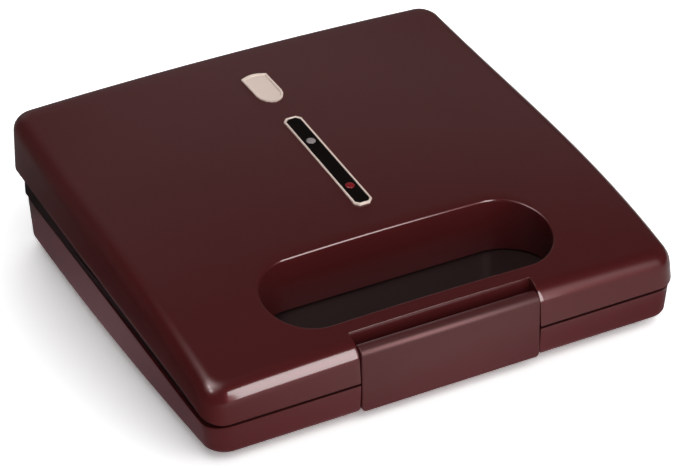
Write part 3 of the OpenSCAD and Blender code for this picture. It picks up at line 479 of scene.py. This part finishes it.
def toObject(bm, name, material=None):
    mesh = bpy.data.meshes.new(name)
    bm.to_mesh(mesh)
    bm.free()
    piece = bpy.data.objects.new(name, mesh)
    bpy.context.scene.collection.objects.link(piece)
    if material:
        mesh.materials.append(material)
    return piece


def markedObject(bm, name, index):
    # a raw shape whose faces all have one index, so that a cutter's faces can be told from the skin's
    piece = toObject(bm, name, materials["casing"])
    piece.data.materials.append(materials["casing"])
    for polygon in piece.data.polygons:
        polygon.material_index = index
    return piece


def combine(piece, other, operation):
    change = piece.modifiers.new(operation.lower(), "BOOLEAN")
    change.object = other
    change.operation = operation
    change.solver = "EXACT"
    depsgraph = bpy.context.evaluated_depsgraph_get()
    depsgraph.update()
    mesh = bpy.data.meshes.new_from_object(piece.evaluated_get(depsgraph))
    piece.modifiers.clear()
    old = piece.data
    piece.data = mesh
    bpy.data.meshes.remove(old)
    bpy.data.objects.remove(other)


def sortMesh(bm):
    # the boolean leaves its parts in no fixed order, and the bevel's corners depend on it
    slant = Vector((1.0, 0.618, 0.3183))
    bm.verts.sort(key=lambda v: v.co.dot(slant))
    bm.edges.sort(key=lambda e: (e.verts[0].co + e.verts[1].co).dot(slant))
    bm.faces.sort(key=lambda f: f.calc_center_median().dot(slant))


def cutShell(shell, cutter, roundness, segments, block=None, softest=25):
    # takes the cutter out of the moulded shell, and rounds the edges where its faces meet the skin
    piece = markedObject(shell, "shellRaw", 0)
    if block:
        combine(piece, markedObject(block, "blockRaw", 0), "UNION")
    combine(piece, markedObject(cutter, "cutterRaw", 1), "DIFFERENCE")
    bm = bmesh.new()
    bm.from_mesh(piece.data)
    bpy.data.objects.remove(piece)
    sortMesh(bm)
    bmesh.ops.remove_doubles(bm, verts=bm.verts, dist=0.03)
    chosen = [
        e
        for e in bm.edges
        if len(e.link_faces) == 2
        and e.link_faces[0].material_index != e.link_faces[1].material_index
        and e.calc_face_angle(0) > math.radians(softest)
    ]
    bevelEdges(bm, chosen, roundness, segments)
    return bm


def finishPiece(bm, name, bodyName, slot, replaced=(), sharp=34, outward=True):
    bmesh.ops.remove_doubles(bm, verts=bm.verts, dist=mergeGap)
    if outward:
        bmesh.ops.recalc_face_normals(bm, faces=bm.faces)
    for face in bm.faces:
        face.smooth = True
        face.material_index = 0
    for edge in bm.edges:
        edge.smooth = len(edge.link_faces) == 2 and edge.calc_face_angle(0) < math.radians(sharp)
    bmesh.ops.scale(bm, vec=(mm, mm, mm), verts=bm.verts)
    for layer in list(bm.verts.layers.float_vector.values()):
        bm.verts.layers.float_vector.remove(layer)
    piece = toObject(bm, name, materials[slot])
    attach(piece, bodyName)
    if replaced:
        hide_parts(*replaced)
    return piece


# Lid: an arched shell with a stadium-shaped handle opening and a finger channel above the latch
lid = {
    "edgeR": 7.7,
    "draft": 0.6,
    "topCuts": 30,
    "filletSteps": 8,
    "sideShares": (0.15, 0.35, 0.55, 0.75, 0.9, 0.97),  # of the way down the side
    "insideShares": (0.97, 0.5, 0.1),
    "lip": ((0.05, 1), (1.2, 1.02), (2.35, 1)),  # insets and shares across the wall's lower edge
    "handleHalf": 74.5,
    "handleR": 22.4,
    "handleY": -73.9,
    "rimR": 1.1,
    "rimSteps": 4,
    "floor": 27.2,
    "floorBand": 6.0,
    "floorR": 0.3,
    "latchHalf": 47.4,
    "cheek": 2.4,
    "channelRear": -103.5,
    "channelTurn": 107,
    "channelSteps": 24,
    "pinY": -110.3,
    "pinZ": 34.3,
    "cutEdgeR": 0.7,
    "cutLow": 10.0,
    "cutHigh": 60.0,
    # (y, z) of the solid part of the moulding round the channel, kept inside the shell's wall
    "cradle": ((-112.4, 27.2), (-112.4, 35.6), (-108, 39.2), (-104, 41.6), (-97.4, 43.2), (-97.4, 27.2)),
}


def lidShell():
    wall, draft, edgeR = body["wall"], lid["draft"], lid["edgeR"]
    rimR, floor, floorR = lid["rimR"], lid["floor"], lid["floorR"]
    ring = makeRing((body["lidFront"], body["lidRear"], body["lidBow"]), draft + edgeR, body["cornerR"])
    bm = bmesh.new()

    def onOutline(start, inset, share, drop):
        # share runs from 0 at the foot of the fillet to 1 at the lower edge
        x, y = ringPoint(start, inset, ring)
        foot = topHeight(x, y) - drop
        return Vector((x, y, foot + (edgeHeight(y, body["lidEdge"]) - foot) * share))

    def onStadium(start, outset, z=None, drop=0.0):
        reach = lid["handleHalf"] - lid["handleR"]
        middle = Vector((max(-1, min(1, start.x / reach)) * reach, lid["handleY"], 0))
        p = middle + (Vector((start.x, start.y, 0)) - middle).normalized() * (lid["handleR"] + outset)
        p.z = topHeight(p.x, p.y) - drop if z is None else z
        return p

    outer = outlineLoop(bm, ring)
    startLoop(bm, outer, onOutline, (ring["inset"], 0, 0))
    well = stadiumLoop(bm, lid["handleHalf"] + rimR, lid["handleR"] + rimR, lid["handleY"])
    startLoop(bm, well, onStadium, (rimR,))
    bridge(bm, outer, well, lid["topCuts"], topHeight)

    # from the top over the fillet, down the side, round the lip and up the inside
    innerR = edgeR - wall
    fillet = [(draft + edgeR * (1 - s), 0, edgeR * (1 - c)) for s, c in quarter(lid["filletSteps"])]
    side = [(draft * (1 - k), k, edgeR) for k in lid["sideShares"]]
    lip = [(inset, share, edgeR) for inset, share in lid["lip"]]
    inside = [(wall + draft * (1 - k), k, edgeR) for k in lid["insideShares"]]
    innerFillet = [
        (draft + wall + innerR * (1 - c), 0, wall + innerR * (1 - s)) for s, c in [(0.0, 1.0)] + quarter(3)
    ]
    innerTop = growLoop(bm, outer, fillet + side + lip + inside + innerFillet, onOutline)

    # over the rim of the handle opening, down its wall, and up again behind it
    rim = [(rimR * (1 - s), None, rimR * (1 - c)) for s, c in quarter(lid["rimSteps"])]
    down = [(0, floor + lid["floorBand"]), (0, floor + floorR), (floorR, floor), (wall, floor)]
    behind = [(wall, floor + lid["floorBand"]), (wall, None, wall)]
    wellTop = growLoop(bm, well, rim + down + behind, onStadium)
    bridge(bm, innerTop, wellTop, 6, lambda x, y: topHeight(x, y) - wall)
    bmesh.ops.recalc_face_normals(bm, faces=bm.faces)
    return bm


def cradleBlock():
    half = lid["latchHalf"] + lid["cheek"]
    bm = bmesh.new()
    verts = [bm.verts.new((-half, y, z)) for y, z in lid["cradle"]]
    extrudeBy(bm, bmesh.ops.contextual_create(bm, geom=verts)["faces"], (2 * half, 0, 0))
    bmesh.ops.recalc_face_normals(bm, faces=bm.faces)
    return bm


def channelCutter():
    half, front = lid["latchHalf"], -body["clear"]
    bm = bmesh.new()
    top = bm.verts.new((-half, lid["channelRear"], lid["cutHigh"]))
    turn = bm.verts.new((-half, lid["channelRear"], lid["pinZ"]))
    spun = bmesh.ops.spin(
        bm,
        geom=[turn],
        cent=(-half, lid["pinY"], lid["pinZ"]),
        axis=(1, 0, 0),
        angle=-math.radians(lid["channelTurn"]),
        steps=lid["channelSteps"],
        use_duplicate=False,
    )
    last = vertsOf(spun["geom_last"])[0]
    bm.edges.new((top, turn))
    below = bm.verts.new((-half, last.co.y, lid["cutLow"]))
    low = bm.verts.new((-half, front, lid["cutLow"]))
    high = bm.verts.new((-half, front, lid["cutHigh"]))
    for pair in ((last, below), (below, low), (low, high), (high, top)):
        bm.edges.new(pair)
    extrudeBy(bm, bmesh.ops.contextual_create(bm, geom=bm.edges[:])["faces"], (2 * half, 0, 0))
    bmesh.ops.recalc_face_normals(bm, faces=bm.faces)
    return bm


def makeLid():
    bm = cutShell(lidShell(), channelCutter(), lid["cutEdgeR"], 3, cradleBlock())
    piece = finishPiece(bm, "lidCasing", "lid", "casing", ("upper_casing",), outward=False)
    print("lid made:", len(piece.data.polygons), "faces")


makeLid()

# Base: a shallow shell with a notch in its front, in which the latch lies
base = {
    "foot": 4.6,
    "edgeR": 2.8,
    "edgeSteps": 5,
    "draft": 1.1,
    "sideShares": (0.2, 0.4, 0.6, 0.8, 0.97),  # of the way up the side
    "lip": ((0.05, 1), (0.5, 1.01), (1.9, 1.01), (2.4, 0.97)),  # insets and shares across the upper edge
    "floor": 7.0,
    "cornerExtra": 1.0,
    "notchHalf": 47.4,
    "notchRear": -109.5,
    "notchWall": -107.1,
    "notchTop": 23.8,
    "notchSide": 2.0,
    "cutHigh": 50.0,
    "cornerR": 3.0,
    "cutEdgeR": 0.5,
}


def baseShell():
    wall, draft, edgeR, foot = body["wall"], base["draft"], base["edgeR"], base["foot"]
    widths = (body["baseFront"], body["baseRear"], body["baseBow"])
    ring = makeRing(widths, draft + edgeR, body["cornerR"] + base["cornerExtra"])
    bm = bmesh.new()

    def onOutline(start, inset, z, share):
        # share runs from 0 at height z to 1 at the upper edge
        x, y = ringPoint(start, inset, ring)
        return Vector((x, y, z + (edgeHeight(y, body["baseEdge"]) - z) * share))

    outer = outlineLoop(bm, ring)
    startLoop(bm, outer, onOutline, (ring["inset"], foot, 0))
    bmesh.ops.contextual_create(bm, geom=outer)

    # from the underside round its edge, up the side, over the lip and down to the floor inside
    fillet = [(draft + edgeR * (1 - s), foot + edgeR * (1 - c), 0) for s, c in quarter(base["edgeSteps"])]
    footTop = foot + edgeR
    side = [(draft * (1 - k), footTop, k) for k in base["sideShares"]]
    lip = [(inset, footTop, share) for inset, share in base["lip"]]
    inside = [
        (wall + draft / 2, footTop, 0.5),
        (wall + draft, footTop + 1, 0),
        (wall + draft + 1, base["floor"], 0),
    ]
    inner = growLoop(bm, outer, fillet + side + lip + inside, onOutline)
    bmesh.ops.contextual_create(bm, geom=inner)
    bmesh.ops.recalc_face_normals(bm, faces=bm.faces)
    return bm


def notchCutter():
    half, r, foot, front = base["notchHalf"], base["cornerR"], base["foot"], -body["clear"]
    bm = bmesh.new()
    ends = []
    for side in (-1, 1):
        start = bm.verts.new((side * half, front, foot + r))
        spun = bmesh.ops.spin(
            bm,
            geom=[start],
            cent=(side * (half + r), front, foot + r),
            axis=(0, 1, 0),
            angle=side * math.radians(-90),
            steps=8,
            use_duplicate=False,
        )
        last = vertsOf(spun["geom_last"])[0]
        low = bm.verts.new((last.co.x, front, 0))
        high = bm.verts.new((side * half, front, base["cutHigh"]))
        bm.edges.new((last, low))
        bm.edges.new((start, high))
        ends.append((low, high))
    bm.edges.new((ends[0][0], ends[1][0]))
    bm.edges.new((ends[0][1], ends[1][1]))
    faces = bmesh.ops.contextual_create(bm, geom=bm.edges[:])["faces"]
    extrudeBy(bm, faces, (0, base["notchRear"] - front, 0))
    bmesh.ops.recalc_face_normals(bm, faces=bm.faces)
    return bm


def makeBase():
    bm = cutShell(baseShell(), notchCutter(), base["cutEdgeR"], 2)
    # the wall behind the notch, a hair behind the cut so that no two faces coincide
    half = base["notchHalf"] + base["notchSide"]
    low = (-half, base["notchRear"] + 0.01, base["foot"] + 0.02)
    boxMesh(bm, low, (half, base["notchWall"], base["notchTop"]))
    piece = finishPiece(bm, "baseCasing", "base", "casing", ("lower_casing",), outward=False)
    print("base made:", len(piece.data.polygons), "faces")


makeBase()

# Latch: a plate with a rounded top round its pin, and two hook fingers behind it
latch = {
    "half": 46.8,
    "face": -114.5,
    "thick": 2.8,
    "barrelR": 4.2,
    "barrelSteps": 36,
    "low": 5.2,
    "cornerR": 2.2,
    "edgeR": 0.8,
    "hookX": 28.0,
    "hookW": 10.0,
    "hookTip": -106.7,
    "hookZ": (12.0, 14.2),
    "hookRoot": 0.5,
    "hookTipR": 0.5,
}


def makeLatch():
    half, face = latch["half"], latch["face"]
    inner = face + latch["thick"]
    bm = bmesh.new()
    start = bm.verts.new((-half, face, lid["pinZ"]))
    drop = math.acos((lid["pinY"] - inner) / latch["barrelR"])
    spun = bmesh.ops.spin(
        bm,
        geom=[start],
        cent=(-half, lid["pinY"], lid["pinZ"]),
        axis=(1, 0, 0),
        angle=-math.pi - drop,
        steps=latch["barrelSteps"],
        use_duplicate=False,
    )
    last = vertsOf(spun["geom_last"])[0]
    lowIn = bm.verts.new((-half, inner, latch["low"]))
    lowOut = bm.verts.new((-half, face, latch["low"]))
    for pair in ((last, lowIn), (lowIn, lowOut), (lowOut, start)):
        bm.edges.new(pair)
    extrudeBy(bm, bmesh.ops.contextual_create(bm, geom=bm.edges[:])["faces"], (2 * half, 0, 0))
    near = 0.01
    corners = [
        e
        for e in bm.edges
        if all(abs(v.co.z - latch["low"]) < near for v in e.verts)
        and abs(e.verts[0].co.x - e.verts[1].co.x) < near
    ]
    bevelEdges(bm, corners, latch["cornerR"], 8)
    bmesh.ops.recalc_face_normals(bm, faces=bm.faces)
    rims = [e for e in bm.edges if e.calc_face_angle(0) > math.radians(40)]
    bevelEdges(bm, rims, latch["edgeR"], 4)
    low, high = latch["hookZ"]
    for side in (-1, 1):
        left = side * latch["hookX"] - latch["hookW"] / 2
        root = inner - latch["hookRoot"]
        verts = boxMesh(bm, (left, root, low), (left + latch["hookW"], latch["hookTip"], high))
        reach = once(e for v in verts for e in v.link_edges)
        tips = [e for e in reach if all(v.co.y > inner + 2 for v in e.verts)]
        bevelEdges(bm, tips, latch["hookTipR"], 2)
    piece = finishPiece(bm, "latchPlate", "latch", "casing", ("latch",), outward=False)
    piece.data.materials[0] = materials["latchFace"]
    print("latch made:", len(piece.data.polygons), "faces")


makeLatch()

# Indicator on the lid's top: a chamfered frame, a window sunk in it and two lenses
strip = {
    "y": 4.5,
    "length": 75.8,
    "width": 9.8,
    "corner": 2.2,
    "bar": 1.1,
    "sunk": 0.9,
    "proud": 0.45,
    "edgeR": 0.5,
    "windowGap": 0.02,
    "windowTop": 0.1,
    "windowThick": 1.6,
    "lampY": (16.6, -22.8),
    "lampR": 2.3,
    "lampFlat": 0.28,  # height of a lens against its radius
}


def onTop(y):
    # the place on the lid's middle line, turned to lie along the top
    slope = math.atan((topHeight(0, y + 1) - topHeight(0, y - 1)) / 2)
    return Matrix.Translation((0, y, topHeight(0, y))) @ Matrix.Rotation(slope, 4, "X")


def stripFace(bm, inset, z):
    verts = bmesh.ops.create_grid(bm, x_segments=1, y_segments=1, size=1)["verts"]
    bmesh.ops.scale(bm, vec=(strip["width"] / 2 - inset, strip["length"] / 2 - inset, 1), verts=verts)
    bmesh.ops.translate(bm, vec=(0, 0, z), verts=verts)
    bevelCorners(bm, verts, strip["corner"], 1)
    return max(bm.faces, key=lambda f: f.calc_area())


def makeStrip():
    place = onTop(strip["y"])
    bm = bmesh.new()
    face = stripFace(bm, 0, strip["proud"])
    bar = bmesh.ops.inset_region(
        bm, faces=[face], thickness=strip["bar"], use_boundary=True, use_even_offset=True
    )["faces"]
    bmesh.ops.delete(bm, geom=[face], context="FACES_ONLY")
    extrudeBy(bm, bar, (0, 0, -strip["sunk"] - strip["proud"]))
    bmesh.ops.recalc_face_normals(bm, faces=bm.faces)
    rims = [e for e in bm.edges if all(v.co.z > 0 for v in e.verts) and e.calc_face_angle(0) > 1]
    bevelEdges(bm, rims, strip["edgeR"], 5)
    bmesh.ops.transform(bm, matrix=place, verts=bm.verts)
    finishPiece(bm, "indicatorTrim", "lid", "trim", ("indicator_trim",))

    bm = bmesh.new()
    face = stripFace(bm, strip["bar"] - strip["windowGap"], strip["windowTop"])
    extrudeBy(bm, [face], (0, 0, -strip["windowThick"]))
    bmesh.ops.transform(bm, matrix=place, verts=bm.verts)
    finishPiece(bm, "indicatorWindow", "lid", "window", ("indicator_window",))

    for name, node, slot, y in (
        ("whiteLamp", "power_lamp", "white_lens", strip["lampY"][0]),
        ("redLamp", "ready_lamp", "red_lens", strip["lampY"][1]),
    ):
        bm = bmesh.new()
        verts = bmesh.ops.create_uvsphere(bm, u_segments=32, v_segments=16, radius=strip["lampR"])["verts"]
        bmesh.ops.scale(bm, vec=(1, 1, strip["lampFlat"]), verts=verts)
        bmesh.ops.translate(bm, vec=(0, y, strip["windowTop"]), verts=verts)
        bmesh.ops.transform(bm, matrix=place, verts=bm.verts)
        finishPiece(bm, name, "lid", slot, (node,))
    print("indicator made")


makeStrip()

# Badge: a bare shield with a raised border
badge = {
    "x": 0.7,
    "y": 71.5,
    "width": 13.8,
    "length": 26.6,
    "sunk": 0.7,
    "proud": 0.7,
    "crest": 2.0,
    "crestSteps": 12,
    # the right half of the foot, from its shoulder to its tip, as shares of half the width and the length
    "foot": ((1, -0.2), (0.92, -0.31), (0.66, -0.42), (0.34, -0.48), (0, -0.5)),
    "border": 1.1,
    "step": 0.4,
    "stepDepth": 0.45,
}


def makeBadge():
    place = Matrix.Translation((badge["x"], 0, 0)) @ onTop(badge["y"])
    half, length, crest = badge["width"] / 2, badge["length"], badge["crest"]
    bm = bmesh.new()
    across = [i / badge["crestSteps"] for i in range(badge["crestSteps"] + 1)]
    points = [(half * (2 * k - 1), length / 2 - crest + crest * math.sin(math.pi * k)) for k in across]
    foot = list(badge["foot"])
    foot += [(-a, b) for a, b in foot[-2::-1]]
    points += [(half * a, length * b) for a, b in foot]
    ring = [bm.verts.new((x, y, 0)) for x, y in points]
    topVerts = extrudeBy(bm, bmesh.ops.contextual_create(bm, geom=ring)["faces"], (0, 0, badge["proud"]))
    bmesh.ops.translate(bm, vec=(0, 0, -badge["sunk"]), verts=ring)
    top = next(f for f in bm.faces if all(v in topVerts for v in f.verts))
    bmesh.ops.inset_region(bm, faces=[top], thickness=badge["border"], depth=0)
    bmesh.ops.inset_region(bm, faces=[top], thickness=badge["step"], depth=-badge["stepDepth"])
    bmesh.ops.recalc_face_normals(bm, faces=bm.faces)
    bmesh.ops.transform(bm, matrix=place, verts=bm.verts)
    finishPiece(bm, "shieldBadge", "lid", "trim", ("badge",), sharp=25)
    print("badge made")


makeBadge()

# Finishes on the solid model's own parts
nodeSlots = {entry["node"]: entry["material_slot"] for entry in frame["record"]["subparts"]}
for nodeName, solid in frame["nodes"].items():
    solid.data.materials.clear()
    solid.data.materials.append(materials[nodeSlots[nodeName]])
print("finishes set on", len(frame["nodes"]), "nodes")

# Studio: white paper and a plain white surround for the camera. The fill lights the object evenly, and the
# mirrored glows stand for the dim room and soft boxes that the lacquer reflects.
# A glow is (azimuth from +X towards +Y, elevation, tightness, radiance)
studio = {
    "floorSize": 8.0,
    "floorColour": "#E8E8E8",
    "seenGain": 2.2,  # how much the paper's colour is raised for the camera, and for bounced light
    "bounceGain": 2.4,
    "seenGlow": 0.1,
    "fill": [(60, 15, 5, 2.7), (300, 15, 5, 1.35), (240, 15, 5, 0.5), (300, 50, 5, 0.9), (240, 50, 5, 0.62)],
    "mirrored": [
        (302, 28, 50, 1.0),
        (300, 12, 24, 0.45),
        (60, 30, 24, 0.11),
        (90, 30, 24, 0.24),
        (120, 15, 24, 0.08),
        (180, 60, 24, 1.5),
        (180, 75, 24, 4.2),
        (205, 57, 200, 8.0),
        (183, 64, 260, 6.0),
    ],
    # what the lacquer mirrors of the paper: rosy from the object itself close by, plain further out
    "footprint": (0.12, 0.112, 0),
    "contactReach": (0.015, 0.03),
    "contactTint": "#FFCDD6",
    "floorContact": [(172, 0, 4, 0.23), (90, 0, 6, 0.3), (270, 0, 3, 0.54)],
    "floorBeyond": [(0, 0, 6, 0.6), (45, 0, 6, 0.35), (90, 0, 6, 0.3), (270, 0, 6, 0.6), (315, 0, 6, 0.3)],
    # the soft box low in front, which draws the bright band along the front edge
    "keyBox": {"place": (0.26, -0.81, 0.37), "aim": (0, 0, 0.04), "size": (0.29, 0.66), "power": 5.6},
}


def glowSum(tree, direction, glows):
    total = 0.0
    for azimuth, elevation, tightness, radiance in glows:
        a, e = math.radians(azimuth), math.radians(elevation)
        aim = (math.cos(a) * math.cos(e), math.sin(a) * math.cos(e), math.sin(e))
        facing = addNode(tree, "ShaderNodeVectorMath", {0: direction, 1: aim}, operation="DOT_PRODUCT")
        front = addNode(tree, "ShaderNodeMath", {0: facing, 1: 0.0}, operation="MAXIMUM")
        lobe = addNode(tree, "ShaderNodeMath", {0: front, 1: tightness}, operation="POWER")
        total = addNode(tree, "ShaderNodeMath", {0: lobe, 1: radiance, 2: total}, operation="MULTIPLY_ADD")
    return total


def makeFloor():
    white, black = (1, 1, 1, 1), (0, 0, 0, 1)
    bm = bmesh.new()
    bmesh.ops.create_grid(bm, x_segments=1, y_segments=1, size=studio["floorSize"] / 2)
    material, tree, place = startMaterial("paperSweep")
    ray = addNode(tree, "ShaderNodeLightPath").node.outputs
    seen, glossy = ray["Is Camera Ray"], ray["Is Glossy Ray"]

    # 0 close to the object's footprint, 1 further out
    across = addNode(tree, "ShaderNodeVectorMath", {0: place}, operation="ABSOLUTE")
    clear = addNode(tree, "ShaderNodeVectorMath", {0: across, 1: studio["footprint"]}, operation="SUBTRACT")
    sides = addNode(tree, "ShaderNodeSeparateXYZ", {0: clear}).node.outputs
    gap = addNode(tree, "ShaderNodeMath", {0: sides["X"], 1: sides["Y"]}, operation="MAXIMUM")
    low, high = studio["contactReach"]
    away = addNode(tree, "ShaderNodeMapRange", {"Value": gap, "From Min": low, "From Max": high})

    # the paper itself, which the lacquer doesn't mirror
    gains = {"Factor": seen, "A": studio["bounceGain"], "B": studio["seenGain"]}
    grey = {0: srgb(studio["floorColour"])[:3], "Scale": addNode(tree, "ShaderNodeMix", gains)}
    tone = addNode(tree, "ShaderNodeVectorMath", grey, operation="SCALE")
    paper = addNode(tree, "ShaderNodeMix", {"Factor": glossy, "A": tone, "B": black}, data_type="RGBA")

    # the glow that it mirrors instead
    outward = addNode(tree, "ShaderNodeVectorMath", {0: place}, operation="NORMALIZE")
    contact, beyond = (glowSum(tree, outward, studio[key]) for key in ("floorContact", "floorBeyond"))
    mirrored = addNode(tree, "ShaderNodeMix", {"Factor": away, "A": contact, "B": beyond})
    plain = addNode(tree, "ShaderNodeMath", {0: seen, 1: studio["seenGlow"]}, operation="MULTIPLY")
    glow = addNode(tree, "ShaderNodeMix", {"Factor": glossy, "A": plain, "B": mirrored})
    untinted = addNode(tree, "ShaderNodeMath", {0: away, 1: seen}, operation="MAXIMUM")
    tones = {"Factor": untinted, "A": srgb(studio["contactTint"]), "B": white}
    shader = addNode(
        tree,
        "ShaderNodeBsdfPrincipled",
        {
            "Base Color": paper,
            "Roughness": 1.0,
            "Specular IOR Level": 0.0,
            "Emission Color": addNode(tree, "ShaderNodeMix", tones, data_type="RGBA"),
            "Emission Strength": glow,
        },
    )
    addNode(tree, "ShaderNodeOutputMaterial", {"Surface": shader})
    toObject(bm, "studioFloor", material)


def makeWorld():
    world = bpy.data.worlds.new("studioWorld")
    bpy.context.scene.world = world
    world.use_nodes = True
    tree = world.node_tree
    tree.nodes.clear()
    direction = addNode(tree, "ShaderNodeTexCoord").node.outputs["Generated"]
    ray = addNode(tree, "ShaderNodeLightPath").node.outputs
    fill, mirrored = (glowSum(tree, direction, studio[key]) for key in ("fill", "mirrored"))
    level = addNode(tree, "ShaderNodeMix", {"Factor": ray["Is Glossy Ray"], "A": fill, "B": mirrored})
    seen = addNode(tree, "ShaderNodeMath", {0: level, 1: ray["Is Camera Ray"]}, operation="MAXIMUM")
    back = addNode(tree, "ShaderNodeBackground", {"Color": (1, 1, 1, 1), "Strength": seen})
    addNode(tree, "ShaderNodeOutputWorld", {"Surface": back})


def makeKeyBox(lamp):
    data = bpy.data.lights.new("keyBox", "AREA")
    data.shape = "RECTANGLE"
    data.size, data.size_y = lamp["size"]
    data.energy = lamp["power"]
    light = bpy.data.objects.new("keyBox", data)
    light.location = lamp["place"]
    light.rotation_euler = (Vector(lamp["aim"]) - Vector(lamp["place"])).to_track_quat("-Z", "Y").to_euler()
    light.visible_diffuse = False
    bpy.context.scene.collection.objects.link(light)


makeFloor()
makeWorld()
makeKeyBox(studio["keyBox"])
bpy.context.scene.view_settings.view_transform = "Standard"
print("studio made")
